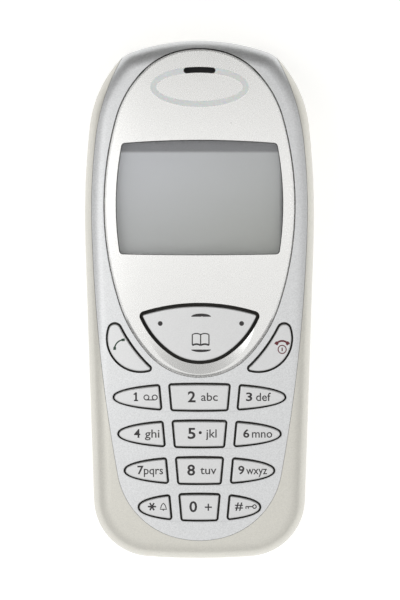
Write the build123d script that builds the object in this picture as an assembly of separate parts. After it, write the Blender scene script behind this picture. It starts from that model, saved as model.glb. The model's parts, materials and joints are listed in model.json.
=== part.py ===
"""A compact candybar mobile phone, built as the separate pieces it comes apart into.

It lies on its back. X is across it, +Y runs to the earpiece end, +Z comes out of the keys.
The origin is on the resting face, under the middle of the body. Lengths are in millimetres.
"""
from build123d import *
import os
from math import asin, cos, copysign, pi, radians, sin

os.makedirs("parts", exist_ok=True)

# ---------------------------------------------------------------- body
LENGTH = 100.0
WALL = 1.2  # thickness of both housings
CROWN_TOP = 20.55  # height of the face at its middle, without bezel and keys
CROWN_ACROSS = 150.0  # the face is rounded to this radius across the phone
CROWN_ALONG = 420.0  # and to this radius along it
FRONT_EDGE = 3.8  # rounding between the face and the sides
BACK_EDGE = 5.0  # rounding between the back and the sides

# Outlines are half chains of (radius, turn in degrees) from one end of the axis to the other.
# A turn of 0 makes the first number a straight length, and the last arc closes on the axis.
BODY = dict(
    top=LENGTH / 2,
    arcs=((39.7, 19.1), (6.1, 28.8), (22.5, 35.9), (159.0, 8.1), (49.95, 0), (11.15, 84.0)),
)
SEAM = dict(
    bottom=-46.5,
    arcs=((18.3, 13.9), (15.25, 65.8), (320.0, 8.7), (114.7, 8.3), (42.0, 22.9), (7.0, 0)),
)
OVAL = dict(
    top=48.16,
    arcs=((17.5, 11.85), (14.15, 34.05), (20.65, 28.2), (61.6, 34.0), (26.15, 25.4)),
)
WINDOW = dict(top=30.7, arcs=((183.0, 4.5), (0.8, 74.8), (60.5, 19.2), (0.8, 80.2)))
NAVIGATION = dict(top=-0.98, arcs=((36.5, 17.1), (0.7, 97.0), (16.6, 31.7)))

# ---------------------------------------------------------------- face pieces
SEAM_GAP = 0.03  # on each side of the line between the housings
PARTING = 12.0  # height of the parting line across the top end
BEZEL_PROUD = 0.4
BEZEL_GAP = 0.28
BEZEL_BEVEL = 0.32
FLANGE = 0.7  # thickness of the bezel's clamping flange
FLANGE_OUT = 0.8
DISH_WIDE = 2.2  # the bezel dips towards the lower side of the navigation key
DISH_DEEP = 0.45
RING_CENTRE = 40.9  # earpiece ring
RING_OUT = (9.46, 3.84)
RING_IN = (8.4, 2.77)
RING_DEEP = 0.6
SOUND_SLOT = (5.0, 1.15)
LENS_THICK = 1.2

# ---------------------------------------------------------------- keys
KEY_GAP = 0.19  # half the gap round a key
NAV_GAP = 0.32
KEY_PROUD = 0.38
KEY_ROUND = 0.25
KEY_LIP = 0.45  # the hidden flange reaches this far past the gap line
TRAVEL = 0.35
ROW_TOP = -18.83
ROW_PITCH = 7.06
ROW_HALF_WIDTHS = (16.55, 15.65, 14.42, 11.73)
ROW_HALF_HEIGHT = 2.63
ROW_POWER = 2.2  # the rows are superellipses of this power
COLUMN_INNER = 5.65  # edge of the middle key on the top row
COLUMN_OUTER = 7.5  # inner edge of the side keys on the top row
COLUMN_SLOPE = 0.0918  # the columns draw together by this much for each mm down the phone
KEY_CORNER = 0.45
ROW_RECESS = 0.07  # each row lies in a shallow recess
ROW_RECESS_OUT = 0.14
CALL_CENTRE = (11.35, -7.5)
CALL_RADIUS = 6.5
CALL_OFF_OVAL = 1.6  # width of the strip between bezel and call keys
NAV_CENTRE = -6.3
NAV_PIVOT_Z = 16.2

# ---------------------------------------------------------------- inside, by height
BOARD_TOP = 14.6
BOARD_THICK = 1.0
BOARD_UNDER = BOARD_TOP - BOARD_THICK
BOARD_INSET = 2.3
DOME_SHEET = 0.1
DOME_RISE = 0.25
DOME_RADIUS = 2.0
MAT_UNDER = 15.1
MAT_THICK = 0.5
MAT_TOP_Y = -0.3
MAT_END_Y = -43.0
PLUNGER_RADIUS = 1.2
PLUNGER_UNDER = BOARD_TOP + DOME_SHEET + DOME_RISE + TRAVEL + 0.05
GLASS = (34.4, 26.0, 1.3)
GLASS_Y = 19.4
GLASS_UNDER = 15.6
FRAME_EDGE = 1.2

BAY_FLOOR = 8.0  # underside of the wall over the battery
BAY_TOP = 9.0
BAY_HALF = 17.1
BAY_Y = (-38.6, 14.6)
BAY_WALL = 1.2
COVER_HALF = 16.5
COVER_TOP_Y = 22.0
COVER_WRAP = 6.0  # the battery cover wraps round the bottom end to this height
COVER_GAP = 0.06
BATTERY = (33.6, 49.6, 5.2)
BATTERY_UNDER = 1.6

SCREWS = ((12.4, 45.0), (-12.4, 45.0))
SCREW_SEAT = 9.0
SCREW_TIP = 16.0
SCREW_RADIUS = 0.95
HEAD_RADIUS = 1.7
HEAD_THICK = 1.2
POST_RADIUS = 2.5
BOSS_RADIUS = 1.9
HOOKS = ((0.0, -45.4), (7.0, -43.9), (-7.0, -43.9))  # tabs that place the cover's lower end
HOOK = (2.4, 0.8, 1.8)

SOCKET = (12.4, 5.0, 2.6)  # opening of the bottom connector: across, deep, high
SOCKET_Z = 11.7
MICROPHONE = (10.0, -44.6)
MICROPHONE_HIGH = 1.3
SPEAKER_Y = 39.0
RINGER = (9.5, 25.5)
MOTOR = (-13.0, 27.0, 10.9)
WEIGHT_GAP = 0.4


# ---------------------------------------------------------------- helpers
def half_chain(shape, grow=0.0):
    """Edges of the right half of an outline, with where it ends and its heading there.

    The chain is worked out rising from the lower end, and flipped if it starts at the upper.
    """
    flip = 1 if "bottom" in shape else -1
    start = shape["bottom"] if flip == 1 else shape["top"]
    x, y, heading = 0.0, start * flip - grow, 0.0
    edges = []
    for size, turn in shape["arcs"]:
        if turn == 0:
            end = (x + size * cos(heading), y + size * sin(heading))
            edges.append(Edge.make_line((x, y * flip), (end[0], end[1] * flip)))
        else:
            radius = size + grow
            cx, cy = x - radius * sin(heading), y + radius * cos(heading)
            on_arc = [
                (cx + radius * sin(a), cy - radius * cos(a))
                for a in (heading + radians(turn) / 2, heading + radians(turn))
            ]
            corners = [(x, y), *on_arc]
            edges.append(Edge.make_three_point_arc(*((u, v * flip) for u, v in corners)))
            heading += radians(turn)
            end = on_arc[-1]
        x, y = end
    return edges, (x, y * flip), heading, flip


def mirrored_face(edges):
    """The face inside a half outline and its mirror image across the YZ plane."""
    return Face(Wire(edges + [e.mirror(Plane.YZ) for e in edges]))


def closing_arc(x, y, heading, flip):
    """Radius and middle, on the axis, of the arc that ends an outline square to the axis."""
    radius = x / sin(heading)
    return radius, (y * flip + radius * cos(heading)) * flip


def outline(shape, grow=0.0):
    """A closed outline whose last arc meets the axis square on."""
    edges, (x, y), heading, flip = half_chain(shape, grow)
    radius, centre = closing_arc(x, y, heading, flip)
    half_turn = (heading + pi) / 2
    on_arc = (radius * sin(half_turn), centre - flip * radius * cos(half_turn))
    edges.append(Edge.make_three_point_arc((x, y), on_arc, (0, centre + flip * radius)))
    return mirrored_face(edges)


def open_outline(shape, grow=0.0):
    """An outline closed by a straight line from the end of one half to the other."""
    edges, (x, y), _, _ = half_chain(shape, grow)
    edges.append(Edge.make_line((x, y), (0, y)))
    return mirrored_face(edges)


def prism(face, low=-5.0, high=30.0):
    """A flat outline as an upright solid from one height to another."""
    return extrude(Pos(0, 0, low) * face, high - low, dir=(0, 0, 1))


def under_crown(drop):
    """Everything below the face, lowered by drop along its normal."""
    radius = CROWN_ALONG - drop
    middle = CROWN_TOP - CROWN_ALONG
    lean = asin(0.6 * LENGTH / radius)
    ends = [(0, side * radius * sin(lean), middle + radius * cos(lean)) for side in (-1, 1)]
    axis_z = CROWN_TOP - CROWN_ACROSS
    feet = [(0, y, axis_z) for _, y, _ in reversed(ends)]
    arc = Edge.make_three_point_arc(ends[0], (0, 0, middle + radius), ends[1])
    loop = [ends[1], *feet, ends[0]]
    lines = [Edge.make_line(p, q) for p, q in zip(loop, loop[1:])]
    axis = Axis((0, 0, axis_z), (0, 1, 0))
    wedge = 40
    return revolve(Face(Wire([arc, *lines])).rotate(axis, -wedge / 2), axis, wedge)


def layer(face, top, under):
    """The part of an upright outline between two depths below the face."""
    return prism(face) & under_crown(top) - under_crown(under)


def body_solid(inset):
    """The whole body without its pieces, shrunk by inset all over."""
    block = prism(outline(BODY, -inset), inset, 30) & under_crown(inset)
    low = block.edges().group_by(Axis.Z)[0]
    block = fillet(low, BACK_EDGE - inset)
    face = block.faces().sort_by(Axis.Z)[-1]
    return fillet(face.edges(), FRONT_EDGE - inset)


def box(across, deep, high, at=(0, 0), under=0.0):
    """A box centred over a place, standing on a height."""
    return Pos(at[0], at[1], under + high / 2) * Box(across, deep, high)


def post(radius, under, top, at=(0, 0)):
    """An upright cylinder over a place, between two heights."""
    return Pos(at[0], at[1], (under + top) / 2) * Cylinder(radius, top - under)


def rounded(across, deep, high, corner, at=(0, 0), under=0.0):
    """A box with rounded upright edges."""
    return Pos(at[0], at[1], under) * extrude(RectangleRounded(across, deep, corner), high)


def highest_face(solid):
    return solid.faces().sort_by(Axis.Z)[-1]


PIECES = {}


def write(name, shape):
    """Saves a piece as parts/name.step."""
    whole = shape if isinstance(shape, (Solid, Compound)) else Compound(shape)
    export_step(whole, f"parts/{name}.step")
    PIECES[name] = shape


# ---------------------------------------------------------------- key outlines
def superellipse(half_width, half_height, y):
    """One row of keys, before it is cut into three."""
    points = []
    for step in range(36):
        angle = 2 * pi * step / 36
        c, s = cos(angle), sin(angle)
        px = copysign(abs(c) ** (2 / ROW_POWER), c) * half_width
        py = copysign(abs(s) ** (2 / ROW_POWER), s) * half_height
        points.append((px, y + py))
    return Face(Wire(Edge.make_spline(points, periodic=True)))


def column_edge(at_top_row, y):
    return at_top_row + (y - ROW_TOP) * COLUMN_SLOPE


def number_key_prism(row, column, grow):
    """Upright solid of one number key's outline; column is -1, 0 or 1."""
    if column == -1:
        return number_key_prism(row, 1, grow).mirror(Plane.YZ)
    y = ROW_TOP - ROW_PITCH * row
    lens = superellipse(ROW_HALF_WIDTHS[row] + grow, ROW_HALF_HEIGHT + grow, y)
    low, high = y - 5, y + 5
    if column == 0:
        inner = [(column_edge(COLUMN_INNER, v) + grow, v) for v in (low, high)]
        cutter = Polyline(*inner, *[(-x, v) for x, v in reversed(inner)], close=True)
    else:
        inner = [(column_edge(COLUMN_OUTER, v) - grow, v) for v in (low, high)]
        cutter = Polyline(*inner, (25, high), (25, low), close=True)
    cut = prism((lens & make_face(cutter.edges())).face())
    tip = ROW_HALF_WIDTHS[row] - 1.5
    corners = [e for e in cut.edges().filter_by(Axis.Z) if abs(e.center().X) < tip]
    return fillet(corners, KEY_CORNER + grow)


def call_key_prism(side, grow):
    """Upright solid of the call key's outline (side -1) or the end key's (side 1)."""
    disc = Pos(side * CALL_CENTRE[0], CALL_CENTRE[1]) * Circle(CALL_RADIUS + grow)
    crescent = prism(disc.face()) - prism(outline(OVAL, CALL_OFF_OVAL - grow))
    upper, lower = crescent.edges().filter_by(Axis.Z).sort_by(Axis.Y)[::-1][:2]
    crescent = fillet(upper, 1.3 + grow)
    lowest = crescent.edges().filter_by(Axis.Z).sort_by(Axis.Y)[0]
    return fillet(lowest, 0.55 + grow)


def key_solid(outline_at, depth, gap, plungers):
    """A key cap with its rounded top, its hidden flange and its plungers."""
    cap = outline_at(-gap) & under_crown(-KEY_PROUD) - under_crown(depth + 0.3)
    cap = fillet(highest_face(cap).edges(), KEY_ROUND)
    flange = outline_at(KEY_LIP) & under_crown(depth) - under_crown(depth + 0.5)
    key = cap + flange
    for x, y in plungers:
        key += post(PLUNGER_RADIUS, PLUNGER_UNDER, 19, (x, y)) & under_crown(depth + 0.1)
    return key


def key_place(row, column):
    """Middle of a number key, where its dome lies."""
    y = ROW_TOP - ROW_PITCH * row
    return (column * (column_edge(COLUMN_OUTER, y) + ROW_HALF_WIDTHS[row]) / 2 * 0.96, y)


KEY_NAMES = (
    ("key_1", "key_2", "key_3"),
    ("key_4", "key_5", "key_6"),
    ("key_7", "key_8", "key_9"),
    ("key_star", "key_0", "key_hash"),
)
KEYS = {
    KEY_NAMES[row][column + 1]: (row, column) for row in range(4) for column in (-1, 0, 1)
}
CALL_KEYS = {"call_key": -1, "end_key": 1}
CALL_PLACE = (13.6, -9.2)
NAV_PLUNGERS = ((-7.4, -4.4), (7.4, -4.4), (0, -2.9), (0, -9.7))
DOMES = (
    [key_place(row, column) for row, column in KEYS.values()]
    + [(side * CALL_PLACE[0], CALL_PLACE[1]) for side in CALL_KEYS.values()]
    + list(NAV_PLUNGERS)
)
COVER_DEPTH = WALL + 0.05  # a key's flange starts this far below the face
NAV_DEPTH = WALL + FLANGE + 0.5


def number_keys():
    for name, (row, column) in KEYS.items():
        def outline_at(grow, row=row, column=column):
            return number_key_prism(row, column, grow)
        write(name, key_solid(outline_at, COVER_DEPTH, KEY_GAP, [key_place(row, column)]))
    for name, side in CALL_KEYS.items():
        def outline_at(grow, side=side):
            return call_key_prism(side, grow)
        place = (side * CALL_PLACE[0], CALL_PLACE[1])
        write(name, key_solid(outline_at, COVER_DEPTH, KEY_GAP, [place]))


def navigation_key():
    def outline_at(grow):
        return prism(outline(NAVIGATION, grow))
    key = key_solid(outline_at, NAV_DEPTH, NAV_GAP, NAV_PLUNGERS)
    write("nav_key", key)
    nub = Pos(0, NAV_CENTRE, NAV_PIVOT_Z) * Sphere(0.9)
    stem = post(0.7, NAV_PIVOT_Z, 19, (0, NAV_CENTRE)) & under_crown(NAV_DEPTH + 0.6)
    write("nav_nub", nub + stem)


# ---------------------------------------------------------------- housings
def front_cover(shell, whole):
    cover = shell & prism(open_outline(SEAM, -SEAM_GAP), PARTING + SEAM_GAP, 30)
    for row, half_width in enumerate(ROW_HALF_WIDTHS):
        reach = KEY_GAP + ROW_RECESS_OUT
        lens = superellipse(half_width + reach, ROW_HALF_HEIGHT + reach, ROW_TOP - ROW_PITCH * row)
        cover -= layer(lens, -1, ROW_RECESS)
    bosses = [post(BOSS_RADIUS, BOARD_TOP, 20, at) for at in SCREWS]
    hooks = [box(HOOK[0], HOOK[1], 30, at) - under_crown(WALL + HOOK[2]) for at in HOOKS]
    for piece in (*bosses, *hooks):
        cover += piece & whole & under_crown(WALL / 2)
    cover -= prism(outline(OVAL, BEZEL_GAP))
    for row, column in KEYS.values():
        cover -= number_key_prism(row, column, KEY_GAP)
    for side in CALL_KEYS.values():
        cover -= call_key_prism(side, KEY_GAP)
    for at in SCREWS:
        cover -= post(SCREW_RADIUS, BOARD_TOP - 1, SCREW_TIP, at)
    write("front_cover", cover)


def back_housing(shell, whole):
    under_cover = prism(open_outline(SEAM, SEAM_GAP), PARTING, 30)
    housing = shell - under_cover
    length = BAY_Y[1] - BAY_Y[0]
    middle = (0, sum(BAY_Y) / 2)
    bay = box(2 * (BAY_HALF + BAY_WALL), length + 2 * BAY_WALL, BAY_TOP - WALL / 2, middle, WALL / 2)
    bay -= box(2 * BAY_HALF, length, BAY_FLOOR, middle)
    bay -= box(22, 3, 4, (0, BAY_Y[1] - 1.6), BAY_FLOOR - 2)
    posts = [post(POST_RADIUS, 0, BOARD_UNDER, at) for at in SCREWS]
    for piece in (bay, *posts):
        housing += piece & whole
    housing -= under_cover - body_solid(WALL + 2 * SEAM_GAP)
    for at in SCREWS:
        housing -= post(HEAD_RADIUS + 0.2, -1, SCREW_SEAT, at)
        housing -= post(SCREW_RADIUS + 0.1, -1, 20, at)
    housing -= cover_zone(COVER_GAP) - body_solid(WALL + COVER_GAP)
    housing -= box(SOCKET[0], 6, SOCKET[2], (0, -LENGTH / 2), SOCKET_Z - SOCKET[2] / 2)
    housing -= sound_hole()
    for offset in (-2, 0, 2):
        housing -= rounded(0.8, 5, 3, 0.35, (RINGER[0] + offset, RINGER[1]), -1)
    write("back_housing", housing)


def sound_hole():
    """The bore through the bottom end that leads to the microphone."""
    at = (MICROPHONE[0], -LENGTH / 2, BOARD_UNDER - MICROPHONE_HIGH / 2)
    return Pos(*at) * Rot(90, 0, 0) * Cylinder(0.5, 7)


def cover_zone(grow):
    """The part of the back that comes off with the battery cover."""
    deep = 80
    y = COVER_TOP_Y + grow - deep / 2
    return box(2 * (COVER_HALF + grow), deep, COVER_WRAP + grow + 5, (0, y), -5)


def battery_cover(shell):
    cover = shell & cover_zone(0)
    for step in range(5):
        groove = box(14 - step, 0.5, 0.6, (0, 14 - 1.6 * step), -0.3)
        cover -= groove
    write("battery_cover", cover)


def dish():
    """The space above a shallow cone that dips towards the navigation key's lower arc."""
    _, (x, y), heading, flip = half_chain(NAVIGATION, NAV_GAP)
    radius, centre = closing_arc(x, y, heading, flip)
    rim_z = CROWN_TOP + BEZEL_PROUD - (centre - radius) ** 2 / 2 / CROWN_ALONG
    inner, outer = radius - 1, radius + DISH_WIDE
    slope = DISH_DEEP / DISH_WIDE
    corners = [(inner, rim_z - slope * (outer - inner)), (outer + 5, rim_z + slope * 5)]
    loop = Polyline(*corners, (outer + 5, rim_z + 9), (inner, rim_z + 9), close=True)
    profile = make_face(Plane.XZ * loop)
    return Pos(0, centre) * revolve(profile, Axis.Z)


def sound_slot_face():
    across, high = SOUND_SLOT
    rim = (RING_OUT[1] + RING_IN[1]) / 2
    curve = RING_OUT[0] * RING_IN[0] / rim
    top = RING_CENTRE + rim
    half = across / 2
    arc = Edge.make_three_point_arc(
        (-half, top - half * half / 2 / curve), (0, top), (half, top - half * half / 2 / curve)
    )
    return SlotArc(arc, high)


def bezel_and_ring():
    bezel = layer(outline(OVAL), -BEZEL_PROUD, WALL + FLANGE)
    bezel = chamfer(highest_face(bezel).edges(), BEZEL_BEVEL)
    flange = layer(outline(OVAL, FLANGE_OUT), WALL + 0.02, WALL + FLANGE)
    flange &= body_solid(WALL + 0.05)
    for at in SCREWS:
        flange -= post(BOSS_RADIUS + 0.15, 0, 30, at)
    across, deep, thick = GLASS
    edge = 2 * FRAME_EDGE + 0.4
    recess = box(across + edge, deep + edge, GLASS_UNDER + thick + 0.1, (0, GLASS_Y))
    bezel = bezel + flange - recess
    bezel -= prism(outline(WINDOW))
    bezel -= prism(outline(NAVIGATION, NAV_GAP))
    below = box(60, 30, 30, (0, NAVIGATION["top"] - 2.5 - 15))
    bezel -= dish() & below
    ring_face = Ellipse(*RING_OUT) - Ellipse(*RING_IN)
    ring = layer((Pos(0, RING_CENTRE) * ring_face).face(), -BEZEL_PROUD - 0.2, RING_DEEP)
    slot = extrude(sound_slot_face(), 30)
    bezel = bezel - ring - slot
    ring -= slot
    write("display_bezel", bezel)
    write("earpiece_ring", ring)
    patch = Pos(0, RING_CENTRE + 3.1) * Rectangle(8, 3)
    gauze_top = WALL + FLANGE + 0.02
    write("earpiece_gauze", layer(patch.face(), gauze_top, gauze_top + 0.28))


# ---------------------------------------------------------------- display
def display():
    lens_top = 0.1 - BEZEL_PROUD
    lens = layer(outline(WINDOW, -0.05), lens_top, lens_top + LENS_THICK)
    write("display_lens", lens)
    across, deep, thick = GLASS
    centre = (0, GLASS_Y)
    write("display_glass", box(across, deep, thick, centre, GLASS_UNDER))
    frame_top = GLASS_UNDER + thick
    outer = (across + 2 * FRAME_EDGE, deep + 2 * FRAME_EDGE)
    frame = rounded(*outer, frame_top - BOARD_TOP, 0.8, centre, BOARD_TOP)
    frame -= box(across + 0.1, deep + 0.1, 5, centre, GLASS_UNDER)
    frame -= box(across - 1.6, deep - 1.6, 5, centre, BOARD_TOP - 1)
    write("display_frame", frame)
    guide_deep = deep - 5.2
    guide_y = GLASS_Y - 1.0
    write("light_guide", box(across - 2, guide_deep, 0.8, (0, guide_y), BOARD_TOP + 0.1))
    lamps = Compound([
        box(2.0, 0.8, 0.6, (x, guide_y - guide_deep / 2 - 0.4), BOARD_TOP) for x in (-12, -4, 4, 12)
    ])
    write("backlight_lamps", lamps)
    strip_y = GLASS_Y + deep / 2 - 1.7
    strip = box(across - 4, 1.2, GLASS_UNDER - BOARD_TOP, (0, strip_y), BOARD_TOP)
    write("display_contact_strip", strip)
    ring = prism(outline(WINDOW, 1.3), frame_top + 0.02) - prism(outline(WINDOW, -0.12))
    seat = box(60, 90, 0.06, under=frame_top + 0.02)
    write("display_gasket", ring & under_crown(WALL + FLANGE + 0.02) + seat)


# ---------------------------------------------------------------- board and key mat
def board():
    plate = prism(outline(BODY, -BOARD_INSET), BOARD_UNDER, BOARD_TOP)
    for at in SCREWS:
        plate -= post(SCREW_RADIUS + 0.1, 10, 20, at)
    write("main_board", plate)
    keypad = prism(outline(BODY, -BOARD_INSET - 1.2), BOARD_TOP, 30)
    middle_y = (MAT_TOP_Y + MAT_END_Y) / 2
    keypad &= box(60, MAT_TOP_Y - MAT_END_Y, 30, (0, middle_y), BOARD_TOP)
    sheet = keypad & box(60, 90, DOME_SHEET, (0, middle_y), BOARD_TOP)
    for x, y in lamp_places():
        sheet -= box(2.0, 1.4, 3, (x, y), BOARD_TOP - 1)
    dome_ball = (DOME_RADIUS**2 + DOME_RISE**2) / (2 * DOME_RISE)
    for x, y in DOMES:
        ball = Pos(x, y, BOARD_TOP + DOME_SHEET + DOME_RISE - dome_ball) * Sphere(dome_ball)
        sheet += ball & post(DOME_RADIUS, BOARD_TOP + DOME_SHEET / 2, 20, (x, y))
    write("dome_sheet", sheet)
    mat = keypad & box(60, 90, MAT_THICK, (0, middle_y), MAT_UNDER)
    for x, y in DOMES:
        mat -= post(PLUNGER_RADIUS + 0.3, 10, 20, (x, y))
    mat -= post(1.3, 10, 20, (0, NAV_CENTRE))
    for y in (MAT_TOP_Y - 0.4, MAT_END_Y + 0.4):
        foot_high = MAT_UNDER - BOARD_TOP - DOME_SHEET
        mat += keypad & box(24, 0.8, foot_high, (0, y), BOARD_TOP + DOME_SHEET)
    write("key_mat", mat)
    write("key_lamps", Compound([box(1.6, 0.9, 0.45, at, BOARD_TOP) for at in lamp_places()]))


def lamp_places():
    """The key lamps stand between the rows, clear of the domes."""
    return [(x, ROW_TOP - ROW_PITCH * (row + 0.5)) for row in range(3) for x in (-6.2, 6.2)]


def board_parts():
    can_high = 1.8

    def can(across, deep, y):
        under = BOARD_UNDER - can_high
        shell = box(across, deep, can_high, (0, y), under)
        return shell - box(across - 0.4, deep - 0.4, can_high, (0, y), under + 0.2)

    write("radio_shield", can(26, 15, 4))
    write("logic_shield", can(28, 26, -20))
    chips = [(8, 8, -5, 6), (6, 5, 6, 2), (10, 10, -6, -15), (8, 11, 6, -18), (6, 6, -4, -27)]
    write("chips", Compound([
        box(across, deep, 1.0, (x, y), BOARD_UNDER - 1.0) for across, deep, x, y in chips
    ]))
    write("backup_cell", post(3.4, BOARD_UNDER - 1.4, BOARD_UNDER, (-2.5, 19.5)))
    socket = box(3, 3, 1.5, (-14.5, 18), BOARD_UNDER - 1.5)
    socket -= post(0.8, 0, BOARD_UNDER - 0.6, (-14.5, 18))
    write("aerial_test_socket", socket)


# ---------------------------------------------------------------- sound and movement
def sound():
    speaker = post(4.6, BOARD_TOP, BOARD_TOP + 1.25, (0, SPEAKER_Y))
    write("earpiece_speaker", fillet(speaker.edges().sort_by(Axis.Z)[-1], 0.3))
    mouth_under = BOARD_UNDER - MICROPHONE_HIGH
    capsule = post(2.0, mouth_under, BOARD_UNDER, MICROPHONE)
    write("microphone", capsule)
    boot = rounded(5.4, 5.0, MICROPHONE_HIGH + 0.3, 1.2, MICROPHONE, mouth_under - 0.3)
    write("microphone_boot", boot - capsule - sound_hole())
    ringer = post(5.5, BOARD_UNDER - 3.4, BOARD_UNDER, RINGER)
    ringer = fillet(ringer.edges().sort_by(Axis.Z)[0], 0.5)
    write("ringer", ringer - post(1.0, 0, BOARD_UNDER - 2.9, RINGER))
    x, y, z = MOTOR
    motor = Pos(x, y, z) * Rot(90, 0, 0) * Cylinder(2.0, 8)
    motor += box(3.2, 6, BOARD_UNDER - z, (x, y), z)
    shaft = Pos(x, y + 4 + 1.9, z) * Rot(90, 0, 0) * Cylinder(0.4, 3.8)
    write("vibration_motor", motor + shaft)
    weight = Pos(x, y + 4 + WEIGHT_GAP + 1.6, z) * Rot(90, 0, 0) * Cylinder(2.3, 3.2)
    weight -= box(10, 10, 5, (x, y + 6), z + 0.9)
    weight -= Pos(x, y + 4 + WEIGHT_GAP + 1.6, z) * Rot(90, 0, 0) * Cylinder(0.43, 9)
    write("vibration_weight", weight)


# ---------------------------------------------------------------- power, card, aerial, socket
def power():
    across, deep, thick = BATTERY
    y = BAY_Y[0] + 0.4 + deep / 2
    cell = rounded(across, deep, thick, 2.0, (0, y), BATTERY_UNDER)
    ends = cell.edges().group_by(Axis.Z)
    write("battery", fillet(ends[0] + ends[-1], 0.6))
    y = BAY_Y[1] - 1.25
    block = box(11, 2.1, BAY_FLOOR - 2.4, (0, y), 2.4)
    write("battery_contact_block", block)
    springs = [
        box(1.2, 0.35, 2.6, (x, y - 1.25), 3.2) for x in (-3.6, 0, 3.6)
    ]
    write("battery_contacts", Compound(springs))


def card():
    reader = rounded(28, 17.4, 1.1, 0.6, (0, -2), BAY_FLOOR - 1.1)
    reader -= box(25.2, 15.2, 0.82, (0, -2), BAY_FLOOR - 0.82)
    reader -= box(16, 9, 3, (0, -2), BAY_FLOOR - 2)
    write("card_reader", reader)
    sim = rounded(25, 15, 0.76, 0.8, (0, -2), BAY_FLOOR - 0.8)
    sim -= Pos(12.5, -9.5, BAY_FLOOR - 0.4) * Rot(0, 0, 45) * Box(4.2, 4.2, 2)
    write("sim_card", sim)


def aerial():
    y, across, deep, low, high = 37.5, 17.0, 17.0, 2.0, 10.0
    carrier = rounded(across, deep, high - low, 1.5, (0, y), low)
    carrier -= rounded(across - 2, deep - 2, high, 0.8, (0, y), low + 1)
    carrier += box(1.0, deep - 1, high - low - 1, (0, y), low + 0.5)
    write("aerial_carrier", carrier)
    plate = rounded(across - 1, deep - 1, 0.2, 1.0, (0, y), low - 0.2)
    plate -= box(9, 0.8, 2, (-3.5, y + 3), low - 1)
    plate -= box(0.8, 6, 2, (1.4, y + 0.4), low - 1)
    write("aerial_plate", plate)
    pins = [box(1.2, 0.6, BOARD_UNDER - high, (x, y - deep / 2 + 0.5), high) for x in (-4, 4)]
    write("aerial_contacts", Compound(pins))


def bottom_connector():
    across, deep, high = SOCKET
    y = -LENGTH / 2 + WALL + 0.3 + deep / 2
    under = SOCKET_Z - high / 2
    body = box(across + 1.2, deep, high + 1.0, (0, y), under - 0.4)
    body -= box(across - 0.2, deep - 1, high - 0.2, (0, y - 0.5), under + 0.1)
    body += box(across - 2, deep - 1.2, 0.8, (0, y), SOCKET_Z - 0.4)
    write("bottom_connector", body)
    pitch = 1.0
    places = [(pitch * (n - 4.5), y - 0.3) for n in range(10)]
    pins = [box(0.5, deep - 2, 0.15, at, SOCKET_Z + 0.4) for at in places]
    write("connector_contacts", Compound(pins))


def housing_screws():
    made = []
    for at in SCREWS:
        head = post(HEAD_RADIUS, SCREW_SEAT - HEAD_THICK, SCREW_SEAT, at)
        head = chamfer(head.edges().sort_by(Axis.Z)[0], 0.25)
        shank = post(SCREW_RADIUS, SCREW_SEAT, SCREW_TIP - 0.3, at)
        socket = Pos(at[0], at[1], SCREW_SEAT - HEAD_THICK) * extrude(RegularPolygon(0.8, 6), 0.7)
        made.append((head + shank - socket).solid())
    write("housing_screws", Compound(made))


# ---------------------------------------------------------------- build
WHOLE = body_solid(0)
SHELL = WHOLE - body_solid(WALL)
front_cover(SHELL, WHOLE)
back_housing(SHELL, WHOLE)
battery_cover(SHELL)
bezel_and_ring()
display()
number_keys()
navigation_key()
board()
board_parts()
sound()
power()
card()
aerial()
bottom_connector()
housing_screws()
bounds = Compound([s for shape in PIECES.values() for s in shape.solids()]).bounding_box()
print(f"{len(PIECES)} pieces, {bounds.size.X:.2f} x {bounds.size.Y:.2f} x {bounds.size.Z:.2f} mm")
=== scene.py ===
# %% [markdown]
# # A small candybar mobile phone, finished in Blender
# The solid parts come ready made from the CAD model: housings, bezel, keys, battery and board.
# This lesson gives them their looks. It sets up a straight-down studio view, writes a finish for
# every part out of noise and maths, and prints the marks on the keys as thin skins of ink.

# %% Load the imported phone
import json
import math

import bmesh
import bpy
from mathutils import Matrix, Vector
from mathutils.bvhtree import BVHTree


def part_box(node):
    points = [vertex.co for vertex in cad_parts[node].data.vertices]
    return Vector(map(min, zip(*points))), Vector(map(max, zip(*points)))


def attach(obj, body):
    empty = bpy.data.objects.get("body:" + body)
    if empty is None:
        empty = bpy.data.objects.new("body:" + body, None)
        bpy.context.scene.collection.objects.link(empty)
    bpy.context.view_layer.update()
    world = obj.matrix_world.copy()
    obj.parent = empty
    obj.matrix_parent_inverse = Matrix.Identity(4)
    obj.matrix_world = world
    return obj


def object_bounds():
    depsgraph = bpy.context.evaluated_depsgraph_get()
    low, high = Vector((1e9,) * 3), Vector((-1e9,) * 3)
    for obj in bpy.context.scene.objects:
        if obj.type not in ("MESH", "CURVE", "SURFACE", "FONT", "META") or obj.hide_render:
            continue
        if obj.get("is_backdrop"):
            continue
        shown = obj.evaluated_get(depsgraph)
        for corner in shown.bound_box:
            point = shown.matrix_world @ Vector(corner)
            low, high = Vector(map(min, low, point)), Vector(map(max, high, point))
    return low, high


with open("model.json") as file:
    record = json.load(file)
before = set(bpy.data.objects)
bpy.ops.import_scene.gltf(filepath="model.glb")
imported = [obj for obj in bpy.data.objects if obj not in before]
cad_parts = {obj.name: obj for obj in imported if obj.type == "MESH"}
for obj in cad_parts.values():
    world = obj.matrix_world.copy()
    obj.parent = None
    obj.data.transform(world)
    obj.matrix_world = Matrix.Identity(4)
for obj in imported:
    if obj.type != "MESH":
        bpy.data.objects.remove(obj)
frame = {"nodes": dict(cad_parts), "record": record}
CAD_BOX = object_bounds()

MM = 0.001
low, high = CAD_BOX
print("phone", [round((b - a) / MM, 1) for a, b in zip(low, high)], "mm,", len(frame["nodes"]), "nodes")

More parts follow.
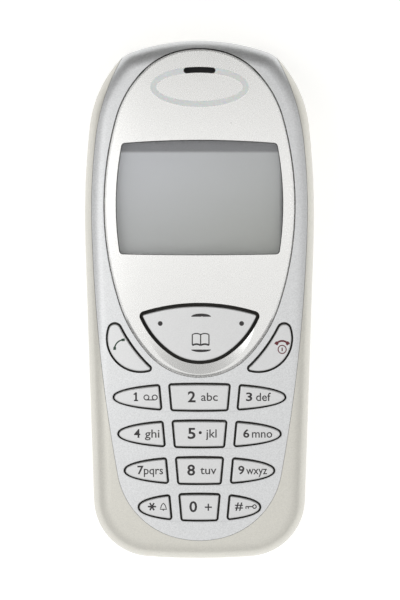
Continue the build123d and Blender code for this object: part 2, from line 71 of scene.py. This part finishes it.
# %% [markdown]
# ## Looking straight down
# The phone lies on its back on a white table, and the camera hangs over its face.
# A long lens from far away keeps the sides from showing, so the picture reads like a drawing.
# The focal length is worked out from how much of the table has to fit in the height of the picture.

# %% The camera
SIGHT_DISTANCE = 1.2
SIGHT_HEIGHT = 0.1153
SIGHT_CENTRE = (0.0001, -0.00013)
SENSOR = 36.0
lens_data = bpy.data.cameras.new("copy_camera")
lens_data.sensor_width = SENSOR
lens_data.lens = SENSOR * SIGHT_DISTANCE / SIGHT_HEIGHT
camera = bpy.data.objects.new("copy_camera", lens_data)
camera.location = (*SIGHT_CENTRE, high.z + SIGHT_DISTANCE)
bpy.context.scene.collection.objects.link(camera)
bpy.context.scene.camera = camera
bpy.context.scene.view_settings.view_transform = "Standard"
print("lens", round(lens_data.lens, 1), "mm")

# %% [markdown]
# ## Writing shaders as sums
# A finish is a web of small nodes. Drawn by hand it is hard to read, so this class lets a material be
# written like arithmetic: `0.4 + 0.1 * grain` adds the two Math nodes and links them.
# A `Finish` owns one material, makes any other node it needs, and feeds results to its shader.

# %% A socket that does sums
class Value:
    """A number or vector on its way through a material, with ordinary arithmetic."""

    def __init__(self, tree, socket):
        self.tree = tree
        self.socket = socket

    def maths(self, operation, *inputs):
        return make_node(self.tree, "ShaderNodeMath", {"operation": operation}, dict(enumerate(inputs)))

    def __add__(self, other):
        return self.maths("ADD", self, other)

    def __sub__(self, other):
        return self.maths("SUBTRACT", self, other)

    def __rsub__(self, other):
        return self.maths("SUBTRACT", other, self)

    def __mul__(self, other):
        return self.maths("MULTIPLY", self, other)

    def __gt__(self, other):
        return self.maths("GREATER_THAN", self, other)

    def __lt__(self, other):
        return self.maths("LESS_THAN", self, other)

    def either(self, other):
        return self.maths("MAXIMUM", self, other)

    def size(self):
        return self.maths("ABSOLUTE", self)

    def between(self, start, end):
        """0 below start, 1 above end, and a smooth slope between them."""
        names = {"Value": self, "From Min": start, "From Max": end}
        return make_node(self.tree, "ShaderNodeMapRange", {"interpolation_type": "SMOOTHSTEP"}, names)

    __radd__ = __add__
    __rmul__ = __mul__


def make_node(tree, kind, settings=None, inputs=None, output=0):
    """Adds one node: settings first, then each input by its name or place."""
    made = tree.nodes.new(kind)
    for name, setting in (settings or {}).items():
        if name == "stops":
            for stop, (place, colour) in zip(made.color_ramp.elements, setting):
                stop.position = place
                stop.color = (*colour, 1)
        else:
            setattr(made, name, setting)
    for name, value in (inputs or {}).items():
        if isinstance(value, Value):
            tree.links.new(value.socket, made.inputs[name])
        else:
            made.inputs[name].default_value = value
    return Value(tree, made.outputs[output])


# %% A finish
class Finish:
    """One material. The values named here are the same all over, and go on the shader itself."""

    def __init__(self, name, colour, **steady):
        self.material = bpy.data.materials.new(name)
        self.material.use_nodes = True
        self.tree = self.material.node_tree
        self.shader = self.tree.nodes["Principled BSDF"]
        self.shader.inputs["Base Color"].default_value = (*colour, 1)
        for socket, value in steady.items():
            self.shader.inputs[socket.replace("_", " ").title().replace("Ior", "IOR")].default_value = value
        self.place = self.node("ShaderNodeTexCoord", output="Object")

    def node(self, kind, settings=None, inputs=None, output=0):
        return make_node(self.tree, kind, settings, inputs, output)

    def noise(self, size, detail=2.0, along=(1, 1, 1)):
        """Cloudy noise from 0 to 1, whose lumps are about this many millimetres across."""
        stretched = self.node("ShaderNodeVectorMath", {"operation": "MULTIPLY"}, {0: self.place, 1: along})
        sockets = {"Vector": stretched, "Scale": 1 / (size * MM), "Detail": detail}
        return self.node("ShaderNodeTexNoise", None, sockets)

    def cells(self, size, output="Color"):
        """Small cells this many millimetres across, each with a random value."""
        sockets = {"Vector": self.place, "Scale": 1 / (size * MM)}
        made = self.node("ShaderNodeTexVoronoi", None, sockets, output)
        return made if output == "Distance" else self.node("ShaderNodeSeparateColor", None, {0: made})

    def axis(self, name):
        """The place along X, Y or Z in millimetres."""
        return self.node("ShaderNodeSeparateXYZ", None, {0: self.place}, name) * (1 / MM)

    def facing(self, name):
        """How much the surface faces along X, Y or Z, from -1 to 1."""
        normal = self.node("ShaderNodeNewGeometry", output="Normal")
        return self.node("ShaderNodeSeparateXYZ", None, {0: normal}, name)

    def blend(self, share, first, second):
        """A colour part of the way from the first to the second."""
        settings = {"data_type": "RGBA"}
        colours = [c if isinstance(c, Value) else (*c, 1) for c in (first, second)]
        return self.node("ShaderNodeMix", settings, {0: share, 6: colours[0], 7: colours[1]}, 2)

    def feed(self, **values):
        for socket, value in values.items():
            self.tree.links.new(value.socket, self.shader.inputs[socket.replace("_", " ").title()])

    def bump(self, height, deep):
        """Raises the surface by height times this many millimetres, in its shading only."""
        made = self.node("ShaderNodeBump", None, {"Height": height, "Distance": deep * MM})
        self.tree.links.new(made.socket, self.shader.inputs["Normal"])


def tone(colour, factor):
    """A lighter or darker version of a colour."""
    return tuple(min(1.0, c * factor) for c in colour)


# %% [markdown]
# ## Light from a bright ceiling
# Small glossy goods are lit with a soft box overhead and white card below, so that every curve fades
# gently. Here the sky itself is the soft box: bright overhead, dimmer to the sides, and dimmest
# beyond the earpiece end, which is what shades the rounded top end of the phone.

# %% The sky
sky = bpy.data.worlds.new("studio")
bpy.context.scene.world = sky
sky.use_nodes = True
sky_tree = sky.node_tree
CEILING = 0.93
WALLS = 0.52
STRIP = 0.42
STRIP_NORTH = 0.13
direction = make_node(sky_tree, "ShaderNodeTexCoord", output="Generated")
north = make_node(sky_tree, "ShaderNodeSeparateXYZ", None, {0: direction}, "Y")
up = make_node(sky_tree, "ShaderNodeSeparateXYZ", None, {0: direction}, "Z")
east = make_node(sky_tree, "ShaderNodeSeparateXYZ", None, {0: direction}, "X")
off_strip = (north - STRIP_NORTH).size().between(0.02, 0.12)
overhead = up.between(0.3, 0.93)
beyond = north.between(0.1, 0.6)
ceiling = (WALLS + overhead * (CEILING - WALLS)) * (1 - beyond * 0.75)
glow = ceiling + (1 - off_strip) * overhead * (1 - east.between(-0.1, 0.5) * 0.35) * STRIP
background = sky_tree.nodes["Background"]
background.inputs["Color"].default_value = (1.0, 0.995, 0.985, 1)
sky_tree.links.new(glow.socket, background.inputs["Strength"])

# %% The soft box
box_light = bpy.data.lights.new("soft_box", "AREA")
box_light.energy = 1.3
box_light.size = 0.6
box_lamp = bpy.data.objects.new("soft_box", box_light)
box_lamp.location = (-0.7, 0.1, 1.3)
box_lamp.rotation_euler = (Vector((0, 0, 0)) - box_lamp.location).to_track_quat("-Z", "Y").to_euler()
bpy.context.scene.collection.objects.link(box_lamp)

# %% The table
TABLE_HALF = 2.0
table_mesh = bpy.data.meshes.new("white_table")
TABLE_CORNERS = ((-1, -1), (1, -1), (1, 1), (-1, 1))
table_corners = [(x * TABLE_HALF, y * TABLE_HALF, low.z) for x, y in TABLE_CORNERS]
table_mesh.from_pydata(table_corners, [], [(0, 1, 2, 3)])
table = bpy.data.objects.new("white_table", table_mesh)
bpy.context.scene.collection.objects.link(table)
WHITE = (1, 1, 1, 1)
PAPER_GLOW = 0.46  # stands for the light that comes back up from a white room
paper = Finish(
    "white_paper", (0.93, 0.93, 0.925), roughness=0.8, emission_color=WHITE, emission_strength=PAPER_GLOW
)
paper.bump(paper.noise(0.8, 4.0), 0.01)
table_mesh.materials.append(paper.material)
table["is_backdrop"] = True

# %% The dark card beyond the earpiece end
CARD_AWAY = 0.07
CARD_HALF = 0.11
CARD_LOW = 0.004
CARD_HIGH = 0.10
card_y = high.y + CARD_AWAY
card_mesh = bpy.data.meshes.new("dark_card")
card_corners = [
    (-CARD_HALF, CARD_LOW), (CARD_HALF, CARD_LOW), (CARD_HALF, CARD_HIGH), (-CARD_HALF, CARD_HIGH)
]
card_mesh.from_pydata([(x, card_y, z) for x, z in card_corners], [], [(0, 1, 2, 3)])
card = bpy.data.objects.new("dark_card", card_mesh)
card.visible_camera = False
bpy.context.scene.collection.objects.link(card)
card_mesh.materials.append(Finish("dark_card", (0.16, 0.16, 0.155), roughness=0.9).material)
card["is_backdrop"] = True

# %% [markdown]
# ## Lacquers
# The front is sprayed with silver lacquer: tiny aluminium flakes lie at random angles in clear resin,
# so the surface is half metal and glitters from point to point. Cells of random value stand for the
# flakes; they change the brightness a little and tip the surface by a hair. The rear shell has the
# same build with pearl flakes.

# %% Where the spray doesn't reach, painted dark as shade
# The walls of the gaps round the keys, the bezel and the openings are left unsprayed. Their near-black colour
# is also painted shade for the depth of the gaps.
BARE_SHADED = (0.035, 0.031, 0.022)
FACE_TOP = 20.55
FACE_ACROSS = 150.0
FACE_ALONG = 420.0
EDGE_Y = 19.0  # the lower edge of the cover is close to an ellipse round this place
EDGE_ACROSS = 19.0
EDGE_ALONG = 27.5
INSIDE = 0.985  # how far out in that ellipse the openings reach
BEZEL_FROM = 20.0  # above this only the opening of the bezel is left


def above_face(finish):
    """Height over the rounded face of the cover, in millimetres."""
    x, y, z = (finish.axis(name) for name in "XYZ")
    return z + x * x * (0.5 / FACE_ACROSS) + y * y * (0.5 / FACE_ALONG) - FACE_TOP


def steep(finish, limit):
    """1 where the surface is steeper than the limit, such as in the gap round a key."""
    return finish.facing("Z") < limit


def bare_shaded_cover(finish):
    """1 on the walls of the openings, and 0 on the outer edge of the cover."""
    x, y = finish.axis("X"), finish.axis("Y")
    towards_middle = x * finish.facing("X") + (y - 13) * finish.facing("Y") < 0
    across, along = x * (1 / EDGE_ACROSS), (y + EDGE_Y) * (1 / EDGE_ALONG)
    inside_edge = (across * across + along * along < INSIDE) * (y < BEZEL_FROM)
    return steep(finish, 0.3) * inside_edge.either(towards_middle)


def bare_shaded_bezel(finish):
    return steep(finish, 0.3) * (finish.axis("Y") < 0.5)


def bare_shaded_key(finish):
    return steep(finish, 0.35).either(above_face(finish) < 0.08)


# %% Flake lacquer
def flake_lacquer(name, colour, metal, roughness, glitter, size=0.16, bare_and_shaded=None, dirt=0.035, deep=0.0035):
    finish = Finish(name, colour, metallic=metal, coat_weight=0.35, coat_roughness=0.12)
    flake = finish.cells(size)
    cloud = finish.noise(3.0, 3.0)
    light = finish.blend(flake, tone(colour, 1 - glitter), tone(colour, 1 + glitter))
    mottled = finish.blend(cloud * 0.16, light, tone(colour, 0.8))
    speck = (finish.cells(2.3, "Distance") < dirt) * (finish.noise(4.0) > 0.58)
    dusty_and_shaded = finish.blend(speck * 0.5, mottled, (0.25, 0.23, 0.18))
    # painted shade: the bare walls of the gaps are coloured near black
    if bare_and_shaded:
        sprayed = 1 - bare_and_shaded(finish)
        dusty_and_shaded = finish.blend(sprayed, BARE_SHADED, dusty_and_shaded)
        finish.feed(metallic=sprayed * metal, coat_weight=sprayed * 0.35)
    finish.feed(base_color=dusty_and_shaded)
    finish.feed(roughness=roughness + flake * 0.08 + speck * 0.3)
    finish.bump(flake * 0.6 + finish.noise(0.5, 2.0), deep)
    return finish.material


FINISHES = {
    "silver_paint": flake_lacquer("silver_paint", (0.79, 0.80, 0.81), 0.85, 0.40, 0.09, bare_and_shaded=bare_shaded_cover),
    "pearl_paint": flake_lacquer("pearl_paint", (0.80, 0.785, 0.72), 0.45, 0.33, 0.05),
    "bright_paint": flake_lacquer(
        "bright_paint", (0.88, 0.88, 0.87), 0.75, 0.20, 0.01, size=0.1, bare_and_shaded=bare_shaded_bezel, deep=0.001
    ),
    "key_silver": flake_lacquer("key_silver", (0.80, 0.805, 0.81), 0.7, 0.36, 0.04, size=0.12, bare_and_shaded=bare_shaded_key),
}
print("lacquers:", sorted(FINISHES))

# %% [markdown]
# ## The window and the display
# The window is a clear hard-coated plate. A plate seen straight on is nearly invisible: a few parts in
# a hundred of the light bounce off, more where it is seen at a slant, which is the Fresnel factor that
# mixes a mirror into clear air here. Behind it lies the liquid crystal glass, grey, with a painted
# reflection that lightens and blues it towards the upper left and a painted shadow of the frame along its top
# and sides.

# %% Clear window
def clear_window():
    finish = Finish("clear_lens", (1, 1, 1), roughness=0.04, ior=1.49)
    sheer = finish.node("ShaderNodeBsdfTransparent", None, {"Color": (0.985, 0.99, 0.985, 1)})
    gloss = finish.node("ShaderNodeFresnel", None, {"IOR": 1.49})
    haze = finish.noise(6.0, 4.0) * 0.02
    mixed = finish.node("ShaderNodeMixShader", None, {0: gloss + haze, 1: sheer})
    mix = mixed.socket.node
    finish.tree.links.new(finish.shader.outputs[0], mix.inputs[2])
    finish.tree.links.new(mixed.socket, finish.tree.nodes["Material Output"].inputs["Surface"])
    finish.bump(finish.noise(9.0, 1.0), 0.002)
    return finish.material


# %% Display glass, with a painted reflection and a painted shadow
SHADE_TOP = 2.6  # painted shadow of the frame, this far down the display, in millimetres
SHADE_SOFT = 0.7
SHADE_SIDE = 0.9


def display_face():
    finish = Finish("display_face", (0.42, 0.43, 0.43), roughness=0.3, coat_weight=0.5, coat_roughness=0.2)
    foot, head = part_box("display_glass")
    down = finish.axis("Y").between(head.y / MM, foot.y / MM)
    across = finish.axis("X").between(foot.x / MM, head.x / MM)
    corner = down * 0.6 + across * 0.4
    pitch = 0.34
    line = 0.02
    rows = finish.node("ShaderNodeMath", {"operation": "PINGPONG"}, {0: finish.axis("Y"), 1: pitch / 2})
    columns = finish.node("ShaderNodeMath", {"operation": "PINGPONG"}, {0: finish.axis("X"), 1: pitch / 2})
    dots = (rows > line) * (columns > line)
    # painted reflection: the display is lighter and bluer towards the upper left corner
    painted_reflection_and_shadow = finish.blend(corner, (0.86, 0.865, 0.93), (0.56, 0.565, 0.545))
    top_edge, side_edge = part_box("display_lens")[1].y / MM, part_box("display_lens")[1].x / MM
    # painted shadow of the frame: a dark band along the top of the display and down its sides
    painted_top_shadow = finish.axis("Y").between(top_edge - SHADE_TOP, top_edge - SHADE_TOP + SHADE_SOFT)
    sides = finish.axis("X").between(side_edge - SHADE_SIDE, side_edge)
    painted_reflection_and_shadow = finish.blend(painted_top_shadow.either(sides) * 0.8, painted_reflection_and_shadow, (0.13, 0.125, 0.15))
    finish.feed(base_color=finish.blend(dots * 0.05, painted_reflection_and_shadow, (0.2, 0.22, 0.2)))
    finish.feed(roughness=0.28 + finish.noise(2.0, 3.0) * 0.06)
    finish.bump(dots, 0.001)
    return finish.material


FINISHES["clear_lens"] = clear_window()
FINISHES["display_face"] = display_face()

# %% [markdown]
# ## Plastics, rubbers and foams
# Moulded plastic takes the fine texture of its steel mould, and rubber is duller with a softer grain.
# One recipe covers them: a grain for the mould texture, a slow cloud for flow marks, and a colour that
# wanders slightly between the two. Foam and woven gauze only differ in the pattern that sets the height.

# %% Moulded material
def moulded(name, colour, roughness, grain=0.12, deep=0.006, **steady):
    finish = Finish(name, colour, **steady)
    fine = finish.noise(grain, 3.0)
    slow = finish.noise(8.0, 2.0)
    finish.feed(base_color=finish.blend(fine * 0.5 + slow * 0.5, tone(colour, 0.88), tone(colour, 1.1)))
    finish.feed(roughness=roughness - 0.06 + fine * 0.12)
    finish.bump(fine, deep)
    return finish.material


def woven(name, colour, pitch):
    finish = Finish(name, colour)
    turns = 2 * math.pi / pitch
    over = finish.node("ShaderNodeMath", {"operation": "SINE"}, {0: finish.axis("X") * turns})
    under = finish.node("ShaderNodeMath", {"operation": "SINE"}, {0: finish.axis("Y") * turns})
    thread = over * under * 0.5 + 0.5
    finish.feed(base_color=finish.blend(thread, tone(colour, 0.5), tone(colour, 1.8)))
    finish.feed(roughness=0.75 + thread * 0.1)
    finish.bump(thread, 0.05)
    return finish.material


def foamed(name, colour):
    finish = Finish(name, colour)
    pores = finish.cells(0.25, "Distance")
    finish.feed(base_color=finish.blend(pores, tone(colour, 0.6), tone(colour, 1.6)))
    finish.feed(roughness=0.95 - pores * 0.1)
    finish.bump(pores, 0.06)
    return finish.material


MILKY = dict(subsurface_weight=0.3, subsurface_scale=0.001)
GLASSY = dict(transmission_weight=0.5, ior=1.49)
FINISHES.update({
    "white_plastic": moulded("white_plastic", (0.95, 0.95, 0.925), 0.26, 0.5, 0.002, **MILKY),
    "white_plastic_inner": moulded("white_plastic_inner", (0.80, 0.80, 0.78), 0.5),
    "clear_acrylic": moulded("clear_acrylic", (0.78, 0.84, 0.84), 0.12, 0.8, 0.002, **GLASSY),
    "lamp": moulded("lamp", (0.85, 0.83, 0.6), 0.3, 0.2),
    "black_gauze": woven("black_gauze", (0.03, 0.03, 0.032), 0.22),
    "black_foam": foamed("black_foam", (0.035, 0.035, 0.035)),
    "black_rubber": moulded("black_rubber", (0.03, 0.03, 0.03), 0.7, 0.2),
    "white_silicone": moulded("white_silicone", (0.62, 0.64, 0.62), 0.5, 0.3, **MILKY),
    "black_resin": moulded("black_resin", (0.03, 0.03, 0.03), 0.55, 0.08),
    "black_plastic": moulded("black_plastic", (0.035, 0.035, 0.037), 0.42),
    "card_plastic": moulded("card_plastic", (0.80, 0.80, 0.82), 0.35, 0.4, 0.002),
    "battery_case": moulded("battery_case", (0.16, 0.17, 0.19), 0.45, 0.2),
})

# %% [markdown]
# ## Metals and the board
# Sheet metal keeps the fine lines of the rollers, so its noise is stretched along one way.
# The circuit board is glass cloth under green lacquer: a weave shows faintly, with copper tracks
# beneath that lift the lacquer where they run.

# %% Rolled metal
def rolled(name, colour, roughness, along=(1, 12, 1)):
    finish = Finish(name, colour, metallic=1.0)
    lines = finish.noise(1.2, 4.0, along)
    stain = finish.noise(5.0, 3.0)
    finish.feed(base_color=finish.blend(lines * 0.6 + stain * 0.4, tone(colour, 0.8), tone(colour, 1.12)))
    finish.feed(roughness=roughness + lines * 0.15 + stain * 0.08)
    finish.bump(lines, 0.004)
    return finish.material


def board_lacquer():
    green = (0.015, 0.14, 0.06)
    finish = Finish("green_board", green, coat_weight=0.4)
    cloth = finish.noise(0.3, 1.0, (1, 3, 1)) * 0.5 + finish.noise(0.3, 1.0, (3, 1, 1)) * 0.5
    track = (finish.cells(2.4, "Distance") > 0.42) * 1.0
    finish.feed(base_color=finish.blend(track * 0.5 + cloth * 0.4, tone(green, 0.8), tone(green, 2.4)))
    finish.feed(roughness=0.3 + cloth * 0.15)
    finish.bump(track + cloth * 0.3, 0.03)
    return finish.material


FINISHES.update({
    "steel_dome": rolled("steel_dome", (0.62, 0.61, 0.59), 0.25),
    "tin_plate": rolled("tin_plate", (0.66, 0.66, 0.65), 0.35, (12, 1, 1)),
    "tungsten": rolled("tungsten", (0.30, 0.29, 0.28), 0.5, (1, 1, 1)),
    "gold_contact": rolled("gold_contact", (0.85, 0.60, 0.25), 0.22),
    "copper_plate": rolled("copper_plate", (0.80, 0.42, 0.28), 0.3),
    "steel_screw": rolled("steel_screw", (0.22, 0.22, 0.23), 0.35, (1, 1, 4)),
    "green_board": board_lacquer(),
})

# %% Put each finish on its parts
for row in frame["record"]["subparts"]:
    part = frame["nodes"][row["node"]]
    part.data.materials.clear()
    part.data.materials.append(FINISHES[row["material_slot"]])

# %% [markdown]
# ## Marks on the keys
# The digits, letters and small signs are pad printed: a film of ink a hundredth of a millimetre thick
# lies on the key. Each mark starts as flat shapes. They are dropped straight down onto the key by
# casting rays at it, so they follow its curve, and then given a thickness so that they are solid.

# %% Ink as a thin solid
INK_THICK = 0.012
INK_SUNK = 0.03


def printed(name, loops, node, finish):
    """Lays flat shapes, loops of points in millimetres, on top of a part as a skin of ink."""
    key = BVHTree.FromObject(frame["nodes"][node], bpy.context.evaluated_depsgraph_get())
    skin = bmesh.new()
    for loop in loops:
        skin.faces.new([skin.verts.new((x * MM, y * MM, 0)) for x, y in loop])
    bmesh.ops.remove_doubles(skin, verts=skin.verts[:], dist=1e-8)
    lifted = bmesh.ops.extrude_face_region(skin, geom=skin.faces[:], use_keep_orig=True)["geom"]
    tops = {v for v in lifted if isinstance(v, bmesh.types.BMVert)}
    for v in skin.verts:
        top = key.ray_cast(Vector((v.co.x, v.co.y, 0.1)), Vector((0, 0, -1)))[0]
        v.co.z = top.z + (INK_THICK if v in tops else -INK_SUNK) * MM
    bmesh.ops.recalc_face_normals(skin, faces=skin.faces[:])
    mesh = bpy.data.meshes.new(name)
    skin.to_mesh(mesh)
    skin.free()
    mesh.materials.append(finish)
    mark = bpy.data.objects.new(name, mesh)
    bpy.context.scene.collection.objects.link(mark)
    return mark


# %% Shapes for the marks
def lettering(text, centre, wide, tall=None, size=None, weight=0.0):
    """Loops of a word, this wide, centred across a place.

    With tall, its box is centred up and down too. With size, it stands on the place as on a line.
    """
    words = bpy.data.curves.new("words", "FONT")
    words.body = text
    words.size = 1.0
    words.offset = weight
    words.resolution_u = 3
    holder = bpy.data.objects.new("words", words)
    mesh = bpy.data.meshes.new_from_object(holder)
    points = [v.co.copy() for v in mesh.vertices]
    sides = [(min(p[i] for p in points), max(p[i] for p in points)) for i in (0, 1)]
    middle = [sum(side) / 2 for side in sides]
    scale_x = wide / (sides[0][1] - sides[0][0])
    scale_y = tall / (sides[1][1] - sides[1][0]) if tall else size
    foot = middle[1] if tall else 0
    flat = [(centre[0] + (p.x - middle[0]) * scale_x, centre[1] + (p.y - foot) * scale_y) for p in points]
    loops = [[flat[i] for i in face.vertices] for face in mesh.polygons]
    bpy.data.objects.remove(holder)
    bpy.data.meshes.remove(mesh)
    return loops


def stroke(path, width, closed=False):
    """Loops of a pen line along a path; width is one number or one for each point."""
    count = len(path)
    widths = width if isinstance(width, (list, tuple)) else [width] * count
    left, right = [], []
    for i, (x, y) in enumerate(path):
        before = path[(i - 1) % count] if closed or i else path[0]
        after = path[(i + 1) % count] if closed or i < count - 1 else path[-1]
        run = Vector((after[0] - before[0], after[1] - before[1])).normalized() * widths[i] / 2
        left.append((x - run.y, y + run.x))
        right.append((x + run.y, y - run.x))
    steps = range(count if closed else count - 1)
    return [[left[i], right[i], right[(i + 1) % count], left[(i + 1) % count]] for i in steps]


def arc(centre, radius, start, end, steps=20):
    """Points along an arc, with its angles in degrees."""
    angles = [math.radians(start + (end - start) * i / steps) for i in range(steps + 1)]
    return [(centre[0] + radius * math.cos(a), centre[1] + radius * math.sin(a)) for a in angles]


def ring(centre, radius, width):
    return stroke(arc(centre, radius, 0, 360, 24)[:-1], width, closed=True)


# %% Inks
def ink(name, colour):
    return moulded(name, colour, 0.45, 0.15, 0.001)


DARK_INK = ink("dark_ink", (0.032, 0.028, 0.030))
SOFT_INK = ink("soft_ink", (0.045, 0.042, 0.042))
GREEN_INK = ink("green_ink", (0.02, 0.06, 0.035))
RED_INK = ink("red_ink", (0.16, 0.02, 0.03))

# %% [markdown]
# ### Digits and letters
# Each number key has a bold digit and lighter letters on one line. The digit's place is given from
# the middle of the key, because the keys draw together down the phone.

# %% Number keys
MIDDLE_DIGIT = (1.5, 2.15)
SIDE_DIGIT = (1.2, 1.68)
LETTER_SIZE = 2.25
KEY_MARKS = {
    "key_1": ("1", -12.2, None, 0, 0),
    "key_2": ("2", -1.5, "abc", 1.9, 3.2),
    "key_3": ("3", 9.55, "def", 12.3, 2.85),
    "key_4": ("4", -12.0, "ghi", -9.1, 2.8),
    "key_5": ("5", -1.5, "jkl", 2.25, 2.1),
    "key_6": ("6", 9.0, "mno", 12.05, 3.9),
    "key_7": ("7", -11.35, "pqrs", -8.85, 3.7),
    "key_8": ("8", -1.6, "tuv", 1.7, 3.1),
    "key_9": ("9", 8.05, "wxyz", 11.0, 4.05),
    "key_0": ("0", -1.2, None, 0, 0),
}


def row_middle(node):
    foot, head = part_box(node)
    return (foot.y + head.y) / 2 / MM


def number_one(x, y, tall):
    """A one with a flag and a foot."""
    top, foot = y + tall / 2, y - tall / 2
    stem = stroke([(x, foot), (x, top)], 0.34)
    flag = stroke([(x - 0.45, top - 0.42), (x, top - 0.12)], 0.26)
    return stem + flag + stroke([(x - 0.4, foot + 0.12), (x + 0.4, foot + 0.12)], 0.24)


for node, (digit, digit_x, letters, letters_x, wide) in KEY_MARKS.items():
    y = row_middle(node) + 0.1
    digit_wide, tall = MIDDLE_DIGIT if abs(digit_x) < 3 else SIDE_DIGIT
    if digit == "1":
        for place, loops in enumerate(number_one(digit_x, y, tall)):
            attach(printed(f"digit_{node}_{place}", [loops], node, DARK_INK), node)
    else:
        loops = lettering(digit, (digit_x, y), digit_wide, tall=tall, weight=0.022)
        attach(printed("digit_" + node, loops, node, DARK_INK), node)
    if letters:
        line = y - tall / 2 + (0.3 if tall > 2 else 0.05)
        loops = lettering(letters, (letters_x, line), wide, size=LETTER_SIZE, weight=0.008)
        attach(printed("letters_" + node, loops, node, SOFT_INK), node)
print("digits on", len(KEY_MARKS), "keys")


# %% Signs beside the digits
def tape_sign(x, y):
    half, radius, line = 0.8, 0.47, 0.2
    reels = ring((x - half, y), radius, line) + ring((x + half, y), radius, line)
    return reels + stroke([(x - half, y - radius), (x + half, y - radius)], line)


def bell_sign(x, y):
    line, foot = 0.17, y - 0.5
    side = [(0.66, -0.5), (0.5, -0.22), (0.38, 0.2), (0.2, 0.48), (0.0, 0.66)]
    dome = [(x + px, y + py) for px, py in side] + [(x - px, y + py) for px, py in reversed(side[:-1])]
    return stroke(dome, line, closed=True) + [arc((x, foot - 0.12), 0.17, 180, 360, 8)]


def latch_sign(x, y):
    line = 0.2
    bow = ring((x + 0.7, y), 0.34, line)
    shank = stroke([(x - 1.0, y), (x + 0.3, y)], line)
    teeth = [stroke([(x + t, y), (x + t, y - 0.42)], line) for t in (-0.95, -0.5)]
    return bow + shank + teeth[0] + teeth[1]


def star_sign(x, y):
    """A star of six arms, drawn as one outline."""
    points = []
    for arm in range(6):
        along = Vector((math.cos(math.radians(60 * arm)), math.sin(math.radians(60 * arm))))
        side = Vector((-along.y, along.x)) * 0.15
        points += [along * 0.8 - side, along * 0.8 + side, (along * 0.26 + side * 1.0)]
    return [[(x + p.x, y + p.y) for p in points]]


def plus_sign(x, y):
    half, line = 0.68, 0.13
    quarter = [(half, -line), (half, line), (line, line)]
    points = []
    for turn in range(4):
        points += quarter
        quarter = [(-py, px) for px, py in quarter]
    return [[(x + px, y + py) for px, py in points]]


bottom_y = row_middle("key_0")
SIGNS = [
    ("tape_mark", "key_1", tape_sign(-9.4, row_middle("key_1") - 0.03)),
    ("star_mark", "key_star", star_sign(-9.15, bottom_y + 0.1)),
    ("bell_mark", "key_star", bell_sign(-6.95, bottom_y + 0.1)),
    ("plus_mark", "key_0", plus_sign(1.7, bottom_y)),
    ("hash_mark", "key_hash", lettering("#", (7.6, bottom_y + 0.1), 1.55, tall=1.6, weight=0.015)),
    ("latch_mark", "key_hash", latch_sign(9.9, bottom_y + 0.1)),
    ("middle_dot_mark", "key_5", [arc((0.15, row_middle("key_5") + 0.25), 0.3, 0, 342, 19)]),
]
for name, node, loops in SIGNS:
    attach(printed(name, loops, node, DARK_INK), node)

# %% [markdown]
# ### The navigation and call keys
# The navigation key shows which way it rocks: a dot at each side and a lens-shaped bar above and
# below, with an open book for the address list. A green handset marks the call key, and a red one
# lying over a power sign the end key.


# %% Navigation key
def lens_bar(x, y, half, rise):
    """A flat-based bar with an arched side; a negative rise arches it downwards."""
    bow = [(x + half * math.cos(a), y + rise * math.sin(a)) for a in (math.pi * i / 16 for i in range(17))]
    return [bow]


def book_sign(x, y):
    half, tall, line, swell = 1.6, 2.05, 0.22, 0.22
    loops = []
    for side in (-1, 1):
        top = [
            (x + side * half * t, y + tall / 2 + swell * math.sin(math.pi * t))
            for t in (0, 0.2, 0.4, 0.6, 0.8, 1)
        ]
        foot = [(px, py - tall) for px, py in top]
        loops += stroke(top, line) + stroke(foot, 0.34)
        loops += stroke([top[-1], foot[-1]], line)
    return loops + stroke([(x, y + tall / 2), (x, y - tall / 2)], line)


NAV_SIGNS = {
    "left_dot_mark": [arc((-7.55, -4.65), 0.46, 0, 342, 19)],
    "right_dot_mark": [arc((8.1, -4.65), 0.46, 0, 342, 19)],
    "up_bar_mark": lens_bar(0.3, -3.35, 1.9, 0.62),
    "down_bar_mark": lens_bar(0.3, -9.65, 1.9, -0.5),
    "book_mark": book_sign(0.22, -7.8),
}
for name, loops in NAV_SIGNS.items():
    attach(printed(name, loops, "nav_key", DARK_INK), "nav_key")


# %% Call and end keys
def handset(centre, radius, start, end, thick):
    """A telephone handset as an arc that swells at both ends."""
    steps = 24
    path = arc(centre, radius, start, end, steps)
    share = [abs(2 * i / steps - 1) for i in range(steps + 1)]
    return stroke(path, [thick * (1.9 if s > 0.62 else 1.0) for s in share])


CALL_SIGNS = [
    ("handset_mark", "call_key", GREEN_INK, handset((-14.55, -9.55), 1.76, 186, 84, 0.27)),
    ("hung_handset_mark", "end_key", RED_INK, handset((15.9, -9.42), 1.42, 150, 30, 0.36)),
    ("power_ring_mark", "end_key", RED_INK, ring((15.9, -9.63), 0.78, 0.19)),
    ("power_bar_mark", "end_key", RED_INK, stroke([(15.9, -9.97), (15.9, -9.29)], 0.22)),
]
for name, node, finish, loops in CALL_SIGNS:
    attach(printed(name, loops, node, finish), node)

# %% [markdown]
# ## Last measure
# The looks must not change the phone's size, so the script prints how far the box of everything shown
# has grown past the box that came from the CAD model.

# %% Print how far the box has grown
NEW_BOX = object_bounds()
grown = [(n - c) / MM for new, cad in zip(NEW_BOX, CAD_BOX) for n, c in zip(new, cad)]
print("grown by", [round(g, 3) for g in grown], "mm")
